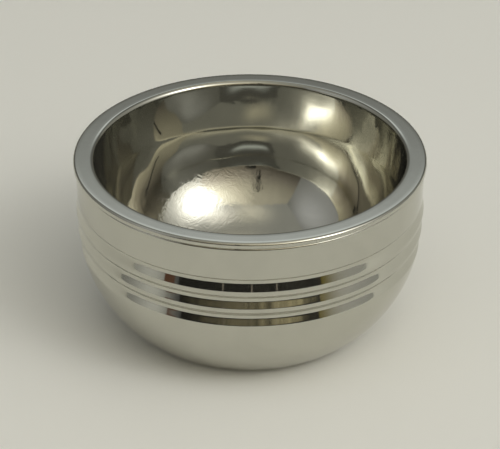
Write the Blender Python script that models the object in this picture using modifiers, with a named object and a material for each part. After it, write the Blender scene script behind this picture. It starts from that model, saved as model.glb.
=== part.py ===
"""Double-walled shaving bowl in polished stainless steel.

The bowl is two drawn cups, one inside the other, joined round the mouth. The inner bowl's flange lies over the
outer shell's mouth, with a thin seal between them, and its turned-down lip hides the joint. Metres, +Z up. The
origin is the middle of the underside, on the surface that the bowl stands on.
"""

import math

import bmesh
import bpy

# Overall sizes
LIP_RADIUS = 0.0500
HEIGHT = 0.0520
SHEET = 0.0006

# The inner bowl: a flat rim, a wall that draws in a little, an oval knuckle and a flat floor
RIM_WIDTH = 0.0059
RIM_INNER_ROUND = 0.0013
RIM_OUTER_ROUND = 0.0008
LIP_DROP = 0.0014
WALL_TAPER = 0.0009
WALL_HEIGHT = 0.0148
FLOOR_RADIUS = 0.0139
FLOOR_GAP = 0.0036
KNUCKLE_POWER = 1.94

# The outer shell: a plain band, three rolled grooves and a round body on a flat base
LIP_OVERHANG = 0.0006
MOUTH_FLANGE = 0.0034
MOUTH_ROUND = 0.0010
BAND_HEIGHT = 0.01115
BAND_CORNER = 0.0005
GROOVE_RISE = 0.0009
GROOVE_UNDERCUT = math.radians(40)
GROOVE_LEDGES = (math.radians(20), math.radians(22), math.radians(22))
GROOVE_ROOT = 0.0015
RIB_SWELLS = (0.0004, 0.00015, -0.00045)
RIB_LANDS = (0.00055, 0.00035, 0.0)
RIB_ROUND = 0.0011
BODY_LEAN = math.radians(9)
BASE_RADIUS = 0.0304
BASE_KNUCKLE = 0.0093
MOST_KNUCKLE = 0.8
BASE_RING_WIDTH = 0.0060
BASE_RECESS = 0.0008
BASE_RECESS_SLOPE = 0.0016

# Clearances
CONTACT_GAP = 0.0003
SEAL_WIDTH = 0.0024

TURN_STEPS = 36

# Finishes: colour, metallic, roughness
BOWL_STEEL = ((0.58, 0.57, 0.53, 1.0), 1.0, 0.05)
SHELL_STEEL = ((0.62, 0.61, 0.57, 1.0), 1.0, 0.08)
SEAL_RUBBER = ((0.03, 0.03, 0.03, 1.0), 0.0, 0.60)


def new_collection(name):
    collection = bpy.data.collections.new(name)
    bpy.context.scene.collection.children.link(collection)
    return collection


def new_material(name, finish):
    colour, metallic, roughness = finish
    material = bpy.data.materials.new(name)
    material.use_nodes = True
    shader = material.node_tree.nodes["Principled BSDF"]
    shader.inputs["Base Color"].default_value = colour
    shader.inputs["Metallic"].default_value = metallic
    shader.inputs["Roughness"].default_value = roughness
    return material


def arc(centre_r, centre_z, radius, start, end, steps):
    """Points of an arc in the (radius, height) half-plane, both ends included."""
    return [
        (
            centre_r + radius * math.cos(start + (end - start) * i / steps),
            centre_z + radius * math.sin(start + (end - start) * i / steps),
        )
        for i in range(steps + 1)
    ]


def inner_bowl_outline():
    """The seen side of the inner bowl, from the middle of its floor out to the bottom edge of its lip."""
    wall_top_r = LIP_RADIUS - RIM_WIDTH
    wall_foot_r = wall_top_r - WALL_TAPER
    wall_foot_z = HEIGHT - WALL_HEIGHT
    floor_z = BASE_RECESS + SHEET + FLOOR_GAP + SHEET
    power = 2 / KNUCKLE_POWER
    knuckle_steps = 12
    points = [(0, floor_z)]
    for i in range(knuckle_steps + 1):
        turn = math.radians(90) * i / knuckle_steps
        points.append(
            (
                FLOOR_RADIUS + (wall_foot_r - FLOOR_RADIUS) * math.sin(turn) ** power,
                wall_foot_z - (wall_foot_z - floor_z) * math.cos(turn) ** power,
            )
        )
    lean = math.atan2(WALL_TAPER, WALL_HEIGHT - RIM_INNER_ROUND)
    points += arc(
        wall_top_r + RIM_INNER_ROUND,
        HEIGHT - RIM_INNER_ROUND,
        RIM_INNER_ROUND,
        math.pi - lean,
        math.pi / 2,
        4,
    )
    points += arc(
        LIP_RADIUS - RIM_OUTER_ROUND, HEIGHT - RIM_OUTER_ROUND, RIM_OUTER_ROUND, math.pi / 2, 0, 3
    )
    points.append((LIP_RADIUS, HEIGHT - LIP_DROP))
    return points


def groove_outline(lip_r, lip_z, corner, crest_r, ledge):
    """One rolled groove: the lip's rounded corner, an undercut to the root, and a ledge out to the next crest."""
    depth = lip_r - crest_r + GROOVE_RISE
    under = min(GROOVE_UNDERCUT, math.acos(1 - depth / (corner + GROOVE_ROOT)))
    points = arc(lip_r - corner, lip_z, corner, 0, -under, 2)
    corner_r, corner_z = points[-1]
    root_centre_r = crest_r - GROOVE_RISE + GROOVE_ROOT
    undercut_r = root_centre_r - GROOVE_ROOT * math.cos(under)
    undercut_z = corner_z - (corner_r - undercut_r) / math.tan(under)
    root_centre_z = undercut_z - GROOVE_ROOT * math.sin(under)
    points += arc(
        root_centre_r, root_centre_z, GROOVE_ROOT, math.pi - under, math.pi + ledge, 3
    )
    root_r, root_z = points[-1]
    shoulder_r = crest_r - RIB_ROUND * (1 - math.cos(ledge))
    shoulder_z = root_z - (shoulder_r - root_r) / math.tan(ledge)
    points += arc(
        crest_r - RIB_ROUND, shoulder_z - RIB_ROUND * math.sin(ledge), RIB_ROUND, ledge, 0, 2
    )
    return points


def body_outline(top_r, top_z):
    """The round body: one arc down from the grooves, and a tighter knuckle that runs into the flat base.

    The knuckle stays small enough for the arc to meet it, however narrow the body is.
    """
    normal_r, normal_z = math.cos(BODY_LEAN), -math.sin(BODY_LEAN)
    room = ((top_r - BASE_RADIUS) * normal_r + top_z * normal_z) / (1 + normal_z)
    knuckle = min(BASE_KNUCKLE, MOST_KNUCKLE * room)
    away_r, away_z = top_r - BASE_RADIUS, top_z - knuckle
    reach = away_r * normal_r + away_z * normal_z
    body_radius = (away_r**2 + away_z**2 - knuckle**2) / (2 * (reach - knuckle))
    centre_r = top_r - body_radius * normal_r
    centre_z = top_z - body_radius * normal_z
    joint = math.atan2(knuckle - centre_z, BASE_RADIUS - centre_r)
    points = arc(centre_r, centre_z, body_radius, -BODY_LEAN, joint, 8)
    points += arc(BASE_RADIUS, knuckle, knuckle, joint, -math.pi / 2, 5)[1:]
    return points


def outer_shell_outline():
    """The seen side of the outer shell, from its mouth's inner edge down to the middle of its base."""
    band_r = LIP_RADIUS - LIP_OVERHANG
    mouth_z = HEIGHT - LIP_DROP - CONTACT_GAP
    points = [(band_r - MOUTH_FLANGE, mouth_z)]
    points += arc(
        band_r - MOUTH_ROUND, mouth_z - MOUTH_ROUND, MOUTH_ROUND, math.pi / 2, 0, 3
    )
    lip_r, lip_z, corner = band_r, HEIGHT - BAND_HEIGHT, BAND_CORNER
    for swell, ledge, land in zip(RIB_SWELLS, GROOVE_LEDGES, RIB_LANDS):
        crest_r = band_r + swell
        points += groove_outline(lip_r, lip_z, corner, crest_r, ledge)
        lip_r, lip_z, corner = crest_r, points[-1][1] - land, RIB_ROUND
    points += body_outline(
        lip_r - RIB_ROUND * (1 - math.cos(BODY_LEAN)), lip_z - RIB_ROUND * math.sin(BODY_LEAN)
    )
    ring_inner_r = BASE_RADIUS - BASE_RING_WIDTH
    points.append((ring_inner_r, 0))
    points.append((ring_inner_r - BASE_RECESS_SLOPE, BASE_RECESS))
    points.append((0, BASE_RECESS))
    return points


def seal_outline():
    """The closed section of the seal, in the space between the inner bowl's flange and the shell's mouth."""
    top_z = HEIGHT - SHEET - CONTACT_GAP
    bottom_z = HEIGHT - LIP_DROP
    outer_r = LIP_RADIUS - SHEET - CONTACT_GAP - RIM_OUTER_ROUND / 2
    inner_r = outer_r - SEAL_WIDTH
    return [(outer_r, top_z), (outer_r, bottom_z), (inner_r, bottom_z), (inner_r, top_z)]


def turned_object(name, outline, closed, material, collection):
    """An object whose mesh is the outline at +X, turned about Z by a Screw modifier."""
    mesh = bpy.data.meshes.new(name)
    outline_mesh = bmesh.new()
    verts = [outline_mesh.verts.new((r, 0, z)) for r, z in outline]
    for first, second in zip(verts, verts[1:]):
        outline_mesh.edges.new((first, second))
    if closed:
        outline_mesh.edges.new((verts[-1], verts[0]))
    outline_mesh.to_mesh(mesh)
    outline_mesh.free()
    mesh.materials.append(material)
    obj = bpy.data.objects.new(name, mesh)
    collection.objects.link(obj)
    screw = obj.modifiers.new("Turn", "SCREW")
    screw.axis = "Z"
    screw.steps = TURN_STEPS
    screw.render_steps = TURN_STEPS
    screw.use_merge_vertices = True
    screw.merge_threshold = 0.00001
    screw.use_smooth_shade = True
    return obj


def sheet_object(name, outline, material, collection):
    """A turned sheet: the outline is its seen side, and Solidify adds the thickness behind it."""
    obj = turned_object(name, outline, False, material, collection)
    solidify = obj.modifiers.new("Sheet", "SOLIDIFY")
    solidify.thickness = SHEET
    solidify.offset = -1
    solidify.use_even_offset = True
    solidify.use_quality_normals = True
    return obj


for leftover in list(bpy.data.objects):
    bpy.data.objects.remove(leftover, do_unlink=True)

bowl = new_collection("shaving_bowl")
bowl_steel = new_material("bowl_steel", BOWL_STEEL)
shell_steel = new_material("shell_steel", SHELL_STEEL)
seal_rubber = new_material("seal_rubber", SEAL_RUBBER)

sheet_object("inner_bowl", inner_bowl_outline(), bowl_steel, bowl)
sheet_object("outer_shell", outer_shell_outline(), shell_steel, bowl)
turned_object("rim_seal", seal_outline(), True, seal_rubber, bowl)
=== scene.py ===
"""Looks for a double-walled shaving bowl in mirror-polished stainless steel.

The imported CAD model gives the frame: every size below is in metres in that frame, +Z up, with the origin in
the middle of the underside.
"""

import math

import bmesh
import bpy
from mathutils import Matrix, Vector


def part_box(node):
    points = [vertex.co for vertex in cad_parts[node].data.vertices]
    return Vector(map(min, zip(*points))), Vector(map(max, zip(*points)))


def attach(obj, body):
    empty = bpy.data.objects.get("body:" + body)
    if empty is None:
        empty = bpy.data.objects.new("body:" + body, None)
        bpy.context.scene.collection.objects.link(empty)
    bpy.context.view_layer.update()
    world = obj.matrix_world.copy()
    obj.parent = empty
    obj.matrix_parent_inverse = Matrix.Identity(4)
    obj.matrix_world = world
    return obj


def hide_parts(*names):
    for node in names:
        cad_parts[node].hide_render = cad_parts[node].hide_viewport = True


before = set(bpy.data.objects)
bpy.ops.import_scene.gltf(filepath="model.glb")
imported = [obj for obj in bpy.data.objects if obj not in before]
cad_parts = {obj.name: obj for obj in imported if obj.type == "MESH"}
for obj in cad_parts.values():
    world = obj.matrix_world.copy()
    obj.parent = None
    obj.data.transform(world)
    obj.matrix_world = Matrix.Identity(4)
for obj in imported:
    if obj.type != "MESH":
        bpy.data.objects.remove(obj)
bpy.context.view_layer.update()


# ---- The table top and the room ----
# The bowl stands on a pale matt table top, inside a cloth tent that is open in front. A big soft lamp hangs
# there on the right, and through the opening lies a dim room with wooden uprights and a chair. Two dark cards
# stand nearer, so that the steel has bright and dark things to mirror.


def linear(hex_colour, alpha=1.0):
    """An sRGB hex colour as linear RGBA."""
    channels = [int(hex_colour[i : i + 2], 16) / 255 for i in (1, 3, 5)]
    return (
        *(c / 12.92 if c <= 0.04045 else ((c + 0.055) / 1.055) ** 2.4 for c in channels),
        alpha,
    )


def node(tree, kind, settings=None, **links):
    """Adds a node with its settings, and links or sets the inputs named in links; _0 is the first input."""
    made = tree.nodes.new(kind)
    for name, value in (settings or {}).items():
        setattr(made, name, value)
    for name, value in links.items():
        socket = made.inputs[int(name[1:])] if name[0] == "_" else made.inputs[name.replace("_", " ")]
        if isinstance(value, bpy.types.NodeSocket):
            tree.links.new(value, socket)
        else:
            socket.default_value = value
    return made


LIP_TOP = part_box("inner_bowl")[1].z
LIP_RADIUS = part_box("inner_bowl")[1].x

CAMERA_DISTANCE = 0.500
CAMERA_RISE = math.radians(28.72)
CAMERA_DIP = math.radians(31.09)
LENS_MM = 127.0

camera_data = bpy.data.cameras.new("camera")
camera_data.lens = LENS_MM
camera_data.sensor_width = 36.0
camera = bpy.data.objects.new("camera", camera_data)
camera.location = (
    0,
    -CAMERA_DISTANCE * math.cos(CAMERA_RISE),
    LIP_TOP + CAMERA_DISTANCE * math.sin(CAMERA_RISE),
)
camera.rotation_euler = (math.pi / 2 - CAMERA_DIP, 0, 0)
bpy.context.scene.collection.objects.link(camera)
bpy.context.scene.camera = camera
bpy.context.scene.view_settings.view_transform = "Standard"


def stage_sheet(name, corners, material):
    """One flat sheet of the room, between its four corners."""
    mesh = bpy.data.meshes.new(name)
    mesh.from_pydata(corners, [], [(0, 1, 2, 3)])
    mesh.materials.append(material)
    sheet = bpy.data.objects.new(name, mesh)
    bpy.context.scene.collection.objects.link(sheet)
    return sheet


SQUARE = ((-1, -1), (1, -1), (1, 1), (-1, 1))
TABLE_SIZE = 6.0

# Uncoated paper: an even off-white with no shine.
paper = bpy.data.materials.new("matt_paper")
paper.use_nodes = True
shader = paper.node_tree.nodes["Principled BSDF"]
shader.inputs["Base Color"].default_value = linear("#F2F2EE")
shader.inputs["Roughness"].default_value = 0.9
shader.inputs["Specular IOR Level"].default_value = 0.1
stage_sheet("table_top", [(x * TABLE_SIZE / 2, y * TABLE_SIZE / 2, 0) for x, y in SQUARE], paper)


def place(azimuth, elevation, distance):
    """A point seen from the bowl's mouth, by angles in degrees: azimuth 0 is behind, and 90 on the right."""
    across, up = math.radians(azimuth), math.radians(elevation)
    return Vector(
        (
            distance * math.cos(up) * math.sin(across),
            distance * math.cos(up) * math.cos(across),
            distance * math.sin(up) + LIP_TOP,
        )
    )


def facing_bowl(centre, axis):
    """The rotation that turns an axis at this point towards the bowl's mouth."""
    return (Vector((0, 0, LIP_TOP)) - centre).to_track_quat(axis, "Y").to_euler()


# A soft overhead light fills in the table top. It is left out of the reflections.
TABLE_LIGHT_WIDTH = 1.6
TABLE_LIGHT_DEPTH = 1.2
TABLE_LIGHT_RADIANCE = 0.55
table_light_data = bpy.data.lights.new("table_light", "AREA")
table_light_data.shape = "RECTANGLE"
table_light_data.size = TABLE_LIGHT_WIDTH
table_light_data.size_y = TABLE_LIGHT_DEPTH
table_light_data.color = linear("#FFFFFB")[:3]
table_light_data.energy = TABLE_LIGHT_RADIANCE * math.pi * TABLE_LIGHT_WIDTH * TABLE_LIGHT_DEPTH
table_light = bpy.data.objects.new("table_light", table_light_data)
table_light.location = place(170, 75, 1.9)
table_light.rotation_euler = facing_bowl(table_light.location, "-Z")
table_light.visible_glossy = False
bpy.context.scene.collection.objects.link(table_light)


def card(name, centre, width, height, material):
    """A flat card that faces the bowl, and that only the steel sees."""
    corners = [(x * width / 2, y * height / 2, 0) for x, y in SQUARE]
    made = stage_sheet(name, corners, material)
    made.location = centre
    made.rotation_euler = facing_bowl(centre, "Z")
    made.visible_camera = False


def falloff(tree, centre, spread):
    """A share of light that is 1 at the centre and fades out round it with no edge, like a spot on cloth."""
    here = node(tree, "ShaderNodeNewGeometry").outputs["Position"]
    away = node(tree, "ShaderNodeVectorMath", {"operation": "DISTANCE"}, _0=here, _1=centre).outputs["Value"]
    share = node(tree, "ShaderNodeMath", {"operation": "DIVIDE"}, _0=away, _1=spread).outputs[0]
    square = node(tree, "ShaderNodeMath", {"operation": "MULTIPLY"}, _0=share, _1=share).outputs[0]
    return node(tree, "ShaderNodeMath", {"operation": "POWER"}, _0=math.exp(-1), _1=square).outputs[0]


# The lamp shines through its own diffuser: a hot middle in a wider glow, each with a spread and a radiance.
LAMP_PLACE = place(125, 43, 2.2)
LAMP_SIZE = 2.6
LAMP_GLOWS = ((0.42, 3.9), (0.85, 0.75))
diffuser = bpy.data.materials.new("lamp_diffuser")
diffuser.use_nodes = True
tree = diffuser.node_tree
tree.nodes.clear()
radiance = 0.0
for spread, middle in LAMP_GLOWS:
    fade = falloff(tree, LAMP_PLACE, spread)
    radiance = node(
        tree, "ShaderNodeMath", {"operation": "MULTIPLY_ADD"}, _0=fade, _1=middle, _2=radiance
    ).outputs[0]
glow = node(tree, "ShaderNodeEmission", _0=linear("#FFFEFA"), _1=radiance)
clear = node(tree, "ShaderNodeBsdfTransparent")
both = node(tree, "ShaderNodeAddShader", _0=glow.outputs[0], _1=clear.outputs[0])
node(tree, "ShaderNodeOutputMaterial", _0=both.outputs[0])
card("lamp_diffuser", LAMP_PLACE, LAMP_SIZE, LAMP_SIZE, diffuser)

# Black cotton on a card and on a slim stand in front: the darkest things that the inside mirrors.
dark_cloth = bpy.data.materials.new("dark_cloth")
dark_cloth.use_nodes = True
shader = dark_cloth.node_tree.nodes["Principled BSDF"]
shader.inputs["Base Color"].default_value = linear("#15140F")
shader.inputs["Specular IOR Level"].default_value = 0.1
card("dark_card", place(180, 16, 0.66), 0.09, 0.09, dark_cloth)
card("dark_stand", place(-172, 32, 0.9), 0.05, 0.34, dark_cloth)


def lit_surface(name, colour, radiance):
    """A surface in the room with an even light on it, which the steel mirrors as one plain tone."""
    surface = bpy.data.materials.new(name)
    surface.use_nodes = True
    tree = surface.node_tree
    tree.nodes.clear()
    glow = node(tree, "ShaderNodeEmission", _0=linear(colour), _1=radiance)
    node(tree, "ShaderNodeOutputMaterial", _0=glow.outputs[0])
    return surface


# Three pale wooden uprights and the back of a brown leather chair stand low in the dark front of the room.
pale_wood = lit_surface("pale_wood", "#F4E6D2", 0.40)
for azimuth in (164, 179, 196):
    card(f"upright_{azimuth}", place(azimuth, 5.5, 2.6), 0.022, 0.28, pale_wood)
card("brown_chair", place(-131, 3.0, 2.6), 0.30, 0.20, lit_surface("brown_leather", "#7A523A", 0.5))

TENT_SIDE = 2.2
TENT_FRONT = -2.35
TENT_HEIGHT = 3.8
CLOTH_COLOUR = "#FAFAF0"


def lit_cloth(name, base, glows):
    """Tent cloth lit from outside: an even glow, and wide soft patches that are brighter or darker than it.

    Each patch is its centre, its spread, its colour and its radiance in the middle.
    """
    cloth = bpy.data.materials.new(name)
    cloth.use_nodes = True
    tree = cloth.node_tree
    tree.nodes.clear()
    total = [c * base for c in linear(CLOTH_COLOUR)[:3]]
    for centre, spread, colour, middle in glows:
        patch = node(
            tree, "ShaderNodeVectorMath", {"operation": "SCALE"},
            _0=[c * middle for c in linear(colour)[:3]], Scale=falloff(tree, centre, spread),
        ).outputs[0]
        total = node(tree, "ShaderNodeVectorMath", {"operation": "ADD"}, _0=total, _1=patch).outputs[0]
    glow = node(tree, "ShaderNodeEmission", _0=total, _1=1.0)
    node(tree, "ShaderNodeOutputMaterial", _0=glow.outputs[0])
    return cloth


# Each wall of the tent is its corners, its even glow and its patches.
front_left, back_left = (-TENT_SIDE, TENT_FRONT), (-TENT_SIDE, TENT_SIDE)
front_right, back_right = (TENT_SIDE, TENT_FRONT), (TENT_SIDE, TENT_SIDE)
tent_walls = {
    "left": (
        [(*front_left, 0), (*back_left, 0), (*back_left, TENT_HEIGHT), (*front_left, TENT_HEIGHT)],
        0.21,
        [
            (place(-108, 50, 3.1), 1.35, "#F6F8FF", 0.36),
            (Vector((-TENT_SIDE, -1.15, 0.3)), 0.62, "#FAFAF0", 0.34),
            (Vector((-TENT_SIDE, TENT_FRONT, 0.4)), 0.55, "#E0E0D4", -0.20),
        ],
    ),
    "back": (
        [(*back_left, 0), (*back_right, 0), (*back_right, TENT_HEIGHT), (*back_left, TENT_HEIGHT)],
        0.13,
        [(place(azimuth, 37.5, 2.8), 0.46, "#F0F8FC", 0.39) for azimuth in range(-30, 31, 10)],
    ),
    "right": (
        [(*back_right, 0), (*front_right, 0), (*front_right, TENT_HEIGHT), (*back_right, TENT_HEIGHT)],
        0.27,
        [
            (place(124, 38, 3.3), 1.5, "#FFFCF2", 0.95),
            (place(130, 50, 3.9), 1.2, "#FFFCF2", 0.6),
            (Vector((TENT_SIDE, TENT_FRONT, 0.3)), 0.75, "#D8E0F0", -0.42),
        ],
    ),
    "top": (
        [(*corner, TENT_HEIGHT) for corner in (front_left, front_right, back_right, back_left)],
        0.34,
        [
            (place(180, 66, 4.15), 0.85, "#FFF6DA", 0.50),
            (place(128, 62, 4.3), 0.8, "#FFF9EC", 0.8),
            (place(20, 72, 4.0), 0.9, "#FFF3D2", 0.42),
        ],
    ),
}
for side, (corners, base, glows) in tent_walls.items():
    stage_sheet("tent_" + side, corners, lit_cloth("lit_cloth_" + side, base, glows))

# The tent's poles run up its back corners and along the top of its back wall, in sleeves of doubled cloth.
pole_sleeve = lit_surface("pole_sleeve", CLOTH_COLOUR, 0.13)
for side, azimuth in (("left", -45), ("right", 45)):
    card("pole_" + side, place(azimuth, 30, 3.3), 0.14, 3.4, pole_sleeve)
card("pole_top", place(0, 56, 3.5), 4.2, 0.55, pole_sleeve)

# The open front of the tent shows the dim room: nearly black low down, then warm brown, then a cream ceiling.
# Each stop is its height above the horizon in degrees, and its colour.
ROOM_STOPS = (
    (0, "#060504"), (7.6, "#0B0A07"), (8.8, "#605A45"), (14, "#645D4B"), (20, "#6E675A"), (27, "#A1998A"),
    (38, "#CFC8B2"), (47, "#E2DBC4"), (90, "#E2DBC4"),
)
world = bpy.data.worlds.new("dim_room")
bpy.context.scene.world = world
world.use_nodes = True
tree = world.node_tree
tree.nodes.clear()
direction = node(tree, "ShaderNodeTexCoord").outputs["Generated"]
apart = node(tree, "ShaderNodeSeparateXYZ", _0=direction)
across, height = apart.outputs["X"], apart.outputs["Z"]
ramp = node(tree, "ShaderNodeValToRGB", _0=height)
elements = ramp.color_ramp.elements
while len(elements) < len(ROOM_STOPS):
    elements.new(1.0)
for element, (degrees, colour) in zip(elements, ROOM_STOPS):
    element.position = math.sin(math.radians(degrees))
    element.color = linear(colour)

# The half of the room on the lamp's side is the brighter one, and a curtain's edge parts the two.
lamp_side = node(
    tree, "ShaderNodeMapRange", {"interpolation_type": "SMOOTHSTEP"},
    Value=across, From_Min=-0.02, From_Max=0.02,
).outputs[0]
far_half = node(
    tree, "ShaderNodeMapRange", Value=across, From_Min=-0.55, From_Max=0.0, To_Min=0.46, To_Max=0.78
).outputs[0]
near_half = node(
    tree, "ShaderNodeMapRange", Value=across, From_Min=0.05, From_Max=0.55, To_Min=1.1, To_Max=2.2
).outputs[0]
share = node(
    tree, "ShaderNodeMix", {"data_type": "FLOAT"}, _0=lamp_side, _2=far_half, _3=near_half
).outputs[0]

# Low down, furniture and its shadows break the dark up.
clutter = node(
    tree, "ShaderNodeTexNoise", Vector=direction, Scale=7.0, Detail=4.0, Roughness=0.65, Distortion=0.6
).outputs["Fac"]
patches = node(
    tree, "ShaderNodeMapRange", Value=clutter, From_Min=0.35, From_Max=0.65, To_Min=0.35, To_Max=2.2
).outputs[0]
low_down = node(tree, "ShaderNodeMapRange", Value=height, From_Min=0.34, From_Max=0.24).outputs[0]
furnished = node(
    tree, "ShaderNodeMix", {"data_type": "FLOAT"}, _0=low_down, _2=1.0, _3=patches
).outputs[0]
radiance = node(tree, "ShaderNodeMath", {"operation": "MULTIPLY"}, _0=share, _1=furnished).outputs[0]
background = node(tree, "ShaderNodeBackground", _0=ramp.outputs[0], _1=radiance)
node(tree, "ShaderNodeOutputWorld", _0=background.outputs[0])


# ---- Inner bowl ----
# One drawn cup of 0.6 mm stainless sheet with a wide flat rim, turned down over the joint at its edge. It is
# mirror-polished all over, with the faint upright ripple that drawing leaves in the wall.

SHEET = 0.0006
RIM_WIDTH = 0.0059
RIM_INNER_ROUND = 0.0013
RIM_OUTER_ROUND = 0.0008
LIP_DROP = 0.0014
WALL_TAPER = 0.0009
WALL_HEIGHT = 0.0148
FLOOR_RADIUS = 0.0139
FLOOR_TOP = 0.0056
KNUCKLE_POWER = 1.94
KNUCKLE_STEPS = 90
TURN_STEPS = 384

# The ripple is three waves round the wall: how many there are, how deep, where they start, and their slant.
RIPPLES = ((9, 0.000045, 0.7, 1.0), (16, 0.000034, 2.1, -2.0), (29, 0.000018, 4.0, 3.0))
RIPPLE_SLANT = 40.0
RIPPLE_MIDDLE = 0.036
RIPPLE_FOOT = 0.020
RIPPLE_RISE = 0.012
RIPPLE_DROP = 0.0018
RIPPLE_FALL = 0.004


def arc(centre_r, centre_z, radius, start, end, steps):
    """Points of an arc in the (radius, height) half-plane, both ends included."""
    return [
        (
            centre_r + radius * math.cos(start + (end - start) * i / steps),
            centre_z + radius * math.sin(start + (end - start) * i / steps),
        )
        for i in range(steps + 1)
    ]


def line(start, end, steps):
    """Points on a straight line, without its first."""
    return [
        (start[0] + (end[0] - start[0]) * i / steps, start[1] + (end[1] - start[1]) * i / steps)
        for i in range(1, steps + 1)
    ]


def inner_bowl_outline():
    """The seen side, from the middle of the floor out to the bottom edge of the lip."""
    wall_top_r = LIP_RADIUS - RIM_WIDTH
    wall_foot_r = wall_top_r - WALL_TAPER
    wall_foot_z = LIP_TOP - WALL_HEIGHT
    power = 2 / KNUCKLE_POWER
    points = [(0, FLOOR_TOP)] + line((0, FLOOR_TOP), (FLOOR_RADIUS, FLOOR_TOP), 12)
    for i in range(1, KNUCKLE_STEPS + 1):
        turn = math.radians(90) * i / KNUCKLE_STEPS
        points.append(
            (
                FLOOR_RADIUS + (wall_foot_r - FLOOR_RADIUS) * math.sin(turn) ** power,
                wall_foot_z - (wall_foot_z - FLOOR_TOP) * math.cos(turn) ** power,
            )
        )
    lean = math.atan2(WALL_TAPER, WALL_HEIGHT - RIM_INNER_ROUND)
    rounding = arc(
        wall_top_r + RIM_INNER_ROUND, LIP_TOP - RIM_INNER_ROUND, RIM_INNER_ROUND,
        math.pi - lean, math.pi / 2, 14,
    )
    points += line(points[-1], rounding[0], 24) + rounding[1:]
    corner = arc(LIP_RADIUS - RIM_OUTER_ROUND, LIP_TOP - RIM_OUTER_ROUND, RIM_OUTER_ROUND, math.pi / 2, 0, 8)
    points += line(points[-1], corner[0], 4) + corner[1:]
    points += line(points[-1], (LIP_RADIUS, LIP_TOP - LIP_DROP), 2)
    return points


def behind(outline):
    """The same outline moved back by the sheet's thickness, away from its seen side."""
    moved = []
    for i, (r, z) in enumerate(outline):
        before, after = outline[max(i - 1, 0)], outline[min(i + 1, len(outline) - 1)]
        run, rise = after[0] - before[0], after[1] - before[1]
        length = math.hypot(run, rise)
        moved.append((0.0 if r == 0 else r + SHEET * rise / length, z - SHEET * run / length))
    return moved


def turned(name, section, ripple=lambda z, turn: 0.0):
    """A closed section, turned about the bowl's axis. ripple is how far each of its points moves outwards."""
    bm = bmesh.new()
    rings = []
    for r, z in section:
        if r == 0:
            rings.append([bm.verts.new((0, 0, z))])
            continue
        ring = []
        for step in range(TURN_STEPS):
            turn = math.tau * step / TURN_STEPS
            rippled_r = r + ripple(z, turn)
            ring.append(bm.verts.new((rippled_r * math.cos(turn), rippled_r * math.sin(turn), z)))
        rings.append(ring)
    for first, second in zip(rings, rings[1:] + rings[:1]):
        if len(first) == 1 and len(second) == 1:
            continue
        for step in range(TURN_STEPS):
            after = (step + 1) % TURN_STEPS
            corners = [first[step % len(first)], second[step % len(second)]]
            corners += [second[after % len(second)], first[after % len(first)]]
            bm.faces.new(list(dict.fromkeys(corners)))
    bmesh.ops.recalc_face_normals(bm, faces=bm.faces)
    mesh = bpy.data.meshes.new(name)
    bm.to_mesh(mesh)
    bm.free()
    mesh.shade_smooth()
    mesh.set_sharp_from_angle(angle=math.radians(40))
    piece = bpy.data.objects.new(name, mesh)
    bpy.context.scene.collection.objects.link(piece)
    return piece


def drawn_ripple(z, turn):
    """How far the drawn wall stands out: under a tenth of a millimetre, and none at the rim and the floor."""
    rise = min(max((z - RIPPLE_FOOT) / RIPPLE_RISE, 0.0), 1.0)
    fall = min(max((LIP_TOP - RIPPLE_DROP - z) / RIPPLE_FALL, 0.0), 1.0)
    lean = RIPPLE_SLANT * (z - RIPPLE_MIDDLE)
    wave = sum(
        depth * math.sin(count * turn + start + slant * lean) for count, depth, start, slant in RIPPLES
    )
    return wave * rise * fall


STEEL_COLOUR = "#C4C3B9"
SMEARED_SHARE = 0.94
CLEAR_ROUGHNESS = 0.035
SMEAR_ROUGHNESS = 0.035

# Smears are a fingertip wide, 15 mm. Drawing lines are really about 0.3 mm apart, and wheel marks about 1 mm:
# they are drawn 1.6 mm and 4 mm apart, so that they show.
SMEARS_PER_METRE = 65.0
STREAKS_PER_METRE = 620.0
STREAK_STRETCH = (1, 1, 0.04)
STREAK_DEPTH = 0.000004
MARKS_PER_METRE = 260.0


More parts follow.
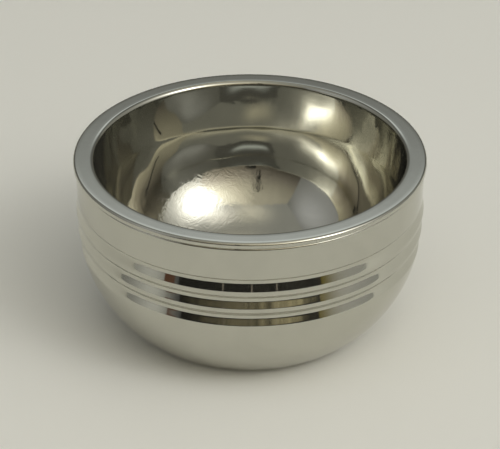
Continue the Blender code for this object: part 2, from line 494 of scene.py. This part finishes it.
def polished_steel(name, low_haze=0.0, mark_depth=0.0):
    """Mirror-polished austenitic stainless steel: a clear, slightly warm mirror.

    Drawing has left faint upright streaks in it, and handling has left smears. low_haze and mark_depth are
    the duller polish and the wheel marks in the bottom of the bowl, where a buffing wheel reaches badly. The
    marks lie mostly on one side, and hardly on the flat floor.
    """
    steel = bpy.data.materials.new(name)
    steel.use_nodes = True
    tree = steel.node_tree
    shader = tree.nodes["Principled BSDF"]
    shader.inputs["Metallic"].default_value = 0.96
    place_on = node(tree, "ShaderNodeTexCoord").outputs["Object"]
    apart = node(tree, "ShaderNodeSeparateXYZ", _0=place_on)
    smears = node(
        tree, "ShaderNodeTexNoise",
        Vector=place_on, Scale=SMEARS_PER_METRE, Detail=4.0, Roughness=0.6, Distortion=1.5,
    ).outputs["Fac"]
    smear_share = node(tree, "ShaderNodeMapRange", Value=smears, From_Min=0.42, From_Max=0.72).outputs[0]
    smeared_colour = [c * SMEARED_SHARE for c in linear(STEEL_COLOUR)[:3]] + [1.0]
    tone = node(
        tree, "ShaderNodeMix", {"data_type": "RGBA"},
        _0=smear_share, _6=linear(STEEL_COLOUR), _7=smeared_colour,
    ).outputs[2]
    tree.links.new(tone, shader.inputs["Base Color"])

    low = node(
        tree, "ShaderNodeMapRange", {"interpolation_type": "SMOOTHSTEP"},
        Value=apart.outputs["Z"], From_Min=0.0255, From_Max=0.0225,
    ).outputs[0]
    haze = node(tree, "ShaderNodeMath", {"operation": "MULTIPLY"}, _0=low, _1=low_haze).outputs[0]
    smeared = node(
        tree, "ShaderNodeMath", {"operation": "MULTIPLY_ADD"},
        _0=smear_share, _1=SMEAR_ROUGHNESS, _2=CLEAR_ROUGHNESS,
    ).outputs[0]
    roughness = node(tree, "ShaderNodeMath", {"operation": "ADD"}, _0=smeared, _1=haze).outputs[0]
    tree.links.new(roughness, shader.inputs["Roughness"])

    upright = node(
        tree, "ShaderNodeVectorMath", {"operation": "MULTIPLY"}, _0=place_on, _1=STREAK_STRETCH
    ).outputs[0]
    streaks = node(
        tree, "ShaderNodeTexNoise", Vector=upright, Scale=STREAKS_PER_METRE, Detail=2.0, Roughness=0.5
    ).outputs["Fac"]
    marks = node(
        tree, "ShaderNodeTexNoise",
        Vector=place_on, Scale=MARKS_PER_METRE, Detail=4.0, Roughness=0.6, Distortion=2.5,
    ).outputs["Fac"]
    worked = node(tree, "ShaderNodeMapRange", Value=smear_share, To_Min=0.4).outputs[0]
    one_side = node(
        tree, "ShaderNodeMapRange", {"interpolation_type": "SMOOTHSTEP"},
        Value=apart.outputs["X"], From_Min=0.012, From_Max=0.001, To_Min=0.12,
    ).outputs[0]
    off_floor = node(
        tree, "ShaderNodeMapRange", {"interpolation_type": "SMOOTHSTEP"},
        Value=apart.outputs["Z"], From_Min=0.007, From_Max=0.012, To_Min=0.15,
    ).outputs[0]
    for limit in (low, worked, one_side, off_floor):
        marks = node(tree, "ShaderNodeMath", {"operation": "MULTIPLY"}, _0=marks, _1=limit).outputs[0]
    drawn = node(tree, "ShaderNodeBump", Strength=0.5, Distance=STREAK_DEPTH, Height=streaks).outputs[0]
    bump = node(
        tree, "ShaderNodeBump", Strength=1.0, Distance=mark_depth, Height=marks, Normal=drawn
    ).outputs[0]
    tree.links.new(bump, shader.inputs["Normal"])
    return steel


inner_outline = inner_bowl_outline()
inner_bowl = turned("polished_inner_bowl", inner_outline + behind(inner_outline)[::-1], drawn_ripple)
inner_bowl.data.materials.append(polished_steel("mirror_polished_steel", 0.012, 0.00007))
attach(inner_bowl, "root")
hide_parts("inner_bowl")


# ---- Outer shell ----
# One drawn cup of the same sheet round the first, with three grooves rolled in under a plain band. Its mouth
# is turned in under the inner bowl's rim, and its base is pressed up in the middle to leave a standing ring.

LIP_OVERHANG = 0.0006
MOUTH_FLANGE = 0.0034
MOUTH_ROUND = 0.0010
BAND_HEIGHT = 0.01115
BAND_CORNER = 0.0005
GROOVE_RISE = 0.0009
GROOVE_UNDERCUT = math.radians(40)
GROOVE_LEDGES = (math.radians(20), math.radians(22), math.radians(22))
GROOVE_ROOT = 0.0015
RIB_SWELLS = (0.0004, 0.00015, -0.00045)
RIB_LANDS = (0.00055, 0.00035, 0.0)
RIB_ROUND = 0.0011
BODY_LEAN = math.radians(9)
BASE_RADIUS = 0.0304
BASE_KNUCKLE = 0.0093
BASE_RING_WIDTH = 0.0060
BASE_RECESS = 0.0008
BASE_RECESS_SLOPE = 0.0016
CONTACT_GAP = 0.0003


def groove_outline(lip_r, lip_z, corner, crest_r, ledge):
    """One rolled groove: the lip's rounded corner, an undercut to the root, and a ledge to the next crest."""
    depth = lip_r - crest_r + GROOVE_RISE
    under = min(GROOVE_UNDERCUT, math.acos(1 - depth / (corner + GROOVE_ROOT)))
    points = arc(lip_r - corner, lip_z, corner, 0, -under, 8)
    corner_r, corner_z = points[-1]
    root_centre_r = crest_r - GROOVE_RISE + GROOVE_ROOT
    undercut_r = root_centre_r - GROOVE_ROOT * math.cos(under)
    undercut_z = corner_z - (corner_r - undercut_r) / math.tan(under)
    root = arc(
        root_centre_r, undercut_z - GROOVE_ROOT * math.sin(under), GROOVE_ROOT,
        math.pi - under, math.pi + ledge, 16,
    )
    points += line(points[-1], root[0], 2) + root[1:]
    root_r, root_z = points[-1]
    shoulder_r = crest_r - RIB_ROUND * (1 - math.cos(ledge))
    shoulder_z = root_z - (shoulder_r - root_r) / math.tan(ledge)
    shoulder = arc(
        crest_r - RIB_ROUND, shoulder_z - RIB_ROUND * math.sin(ledge), RIB_ROUND, ledge, 0, 8
    )
    points += line(points[-1], shoulder[0], 6) + shoulder[1:]
    return points


def body_outline(top_r, top_z):
    """The round body: one arc down from the grooves, and a tighter knuckle that runs into the flat base."""
    away_r, away_z = top_r - BASE_RADIUS, top_z - BASE_KNUCKLE
    normal_r, normal_z = math.cos(BODY_LEAN), -math.sin(BODY_LEAN)
    reach = away_r * normal_r + away_z * normal_z
    body_radius = (away_r**2 + away_z**2 - BASE_KNUCKLE**2) / (2 * (reach - BASE_KNUCKLE))
    centre_r = top_r - body_radius * normal_r
    centre_z = top_z - body_radius * normal_z
    joint = math.atan2(BASE_KNUCKLE - centre_z, BASE_RADIUS - centre_r)
    points = arc(centre_r, centre_z, body_radius, -BODY_LEAN, joint, 48)
    points += arc(BASE_RADIUS, BASE_KNUCKLE, BASE_KNUCKLE, joint, -math.pi / 2, 20)[1:]
    return points


def outer_shell_outline():
    """The seen side, from the mouth's inner edge down to the middle of the base."""
    band_r = LIP_RADIUS - LIP_OVERHANG
    mouth_z = LIP_TOP - LIP_DROP - CONTACT_GAP
    points = [(band_r - MOUTH_FLANGE, mouth_z)]
    points += arc(band_r - MOUTH_ROUND, mouth_z - MOUTH_ROUND, MOUTH_ROUND, math.pi / 2, 0, 8)
    lip_r, lip_z, corner = band_r, LIP_TOP - BAND_HEIGHT, BAND_CORNER
    for swell, ledge, land in zip(RIB_SWELLS, GROOVE_LEDGES, RIB_LANDS):
        groove = groove_outline(lip_r, lip_z, corner, band_r + swell, ledge)
        points += line(points[-1], groove[0], 4) + groove[1:]
        lip_r, lip_z, corner = band_r + swell, groove[-1][1] - land, RIB_ROUND
    points += body_outline(
        lip_r - RIB_ROUND * (1 - math.cos(BODY_LEAN)), lip_z - RIB_ROUND * math.sin(BODY_LEAN)
    )
    ring_inner_r = BASE_RADIUS - BASE_RING_WIDTH
    points += line(points[-1], (ring_inner_r, 0), 6)
    points += line(points[-1], (ring_inner_r - BASE_RECESS_SLOPE, BASE_RECESS), 2)
    points += line(points[-1], (0, BASE_RECESS), 12)
    return points


shell_outline = outer_shell_outline()
outer_shell = turned("polished_outer_shell", shell_outline + behind(shell_outline)[::-1])
outer_shell.data.materials.append(polished_steel("polished_shell_steel"))
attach(outer_shell, "root")
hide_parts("outer_shell")


# ---- Rim seal ----
# A moulded ring of black nitrile rubber, rectangular in section, held in the joint between the inner bowl's
# flange and the shell's mouth. It keeps water out of the air space, and the lip hides all but a hair of it.

SEAL_WIDTH = 0.0024
SEAL_ROUND = 0.0001


def seal_outline():
    """The closed section of the seal, with a small round on each of its corners."""
    top_z = LIP_TOP - SHEET - CONTACT_GAP
    bottom_z = LIP_TOP - LIP_DROP
    outer_r = LIP_RADIUS - SHEET - CONTACT_GAP - RIM_OUTER_ROUND / 2
    inner_r = outer_r - SEAL_WIDTH
    corners = ((outer_r, top_z, 0), (inner_r, top_z, 90), (inner_r, bottom_z, 180), (outer_r, bottom_z, 270))
    points = []
    for r, z, start in corners:
        centre_r = r - SEAL_ROUND if r == outer_r else r + SEAL_ROUND
        centre_z = z - SEAL_ROUND if z == top_z else z + SEAL_ROUND
        points += arc(centre_r, centre_z, SEAL_ROUND, math.radians(start), math.radians(start + 90), 4)
    return points


# The bloom comes in patches of about 4 mm. The mould's pits are really 0.05 mm wide, and drawn at 0.2 mm.
BLOOM_PER_METRE = 240.0
PITS_PER_METRE = 5000.0


def moulded_rubber():
    """Moulded nitrile rubber: soft black with a grey bloom, a dull sheen, and the fine pits of its mould."""
    rubber = bpy.data.materials.new("moulded_nitrile_rubber")
    rubber.use_nodes = True
    tree = rubber.node_tree
    shader = tree.nodes["Principled BSDF"]
    place_on = node(tree, "ShaderNodeTexCoord").outputs["Object"]
    bloom = node(
        tree, "ShaderNodeTexNoise", Vector=place_on, Scale=BLOOM_PER_METRE, Detail=3.0
    ).outputs["Fac"]
    tone = node(
        tree, "ShaderNodeMix", {"data_type": "RGBA"}, _0=bloom, _6=linear("#1B1B1A"), _7=linear("#3A3A38")
    ).outputs[2]
    dull = node(tree, "ShaderNodeMapRange", Value=bloom, To_Min=0.50, To_Max=0.70).outputs[0]
    pits = node(
        tree, "ShaderNodeTexNoise", Vector=place_on, Scale=PITS_PER_METRE, Detail=2.0
    ).outputs["Fac"]
    bump = node(tree, "ShaderNodeBump", Strength=0.4, Distance=0.00001, Height=pits).outputs[0]
    tree.links.new(tone, shader.inputs["Base Color"])
    tree.links.new(dull, shader.inputs["Roughness"])
    tree.links.new(bump, shader.inputs["Normal"])
    return rubber


rim_seal = turned("rubber_rim_seal", seal_outline())
rim_seal.data.materials.append(moulded_rubber())
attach(rim_seal, "root")
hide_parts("rim_seal")
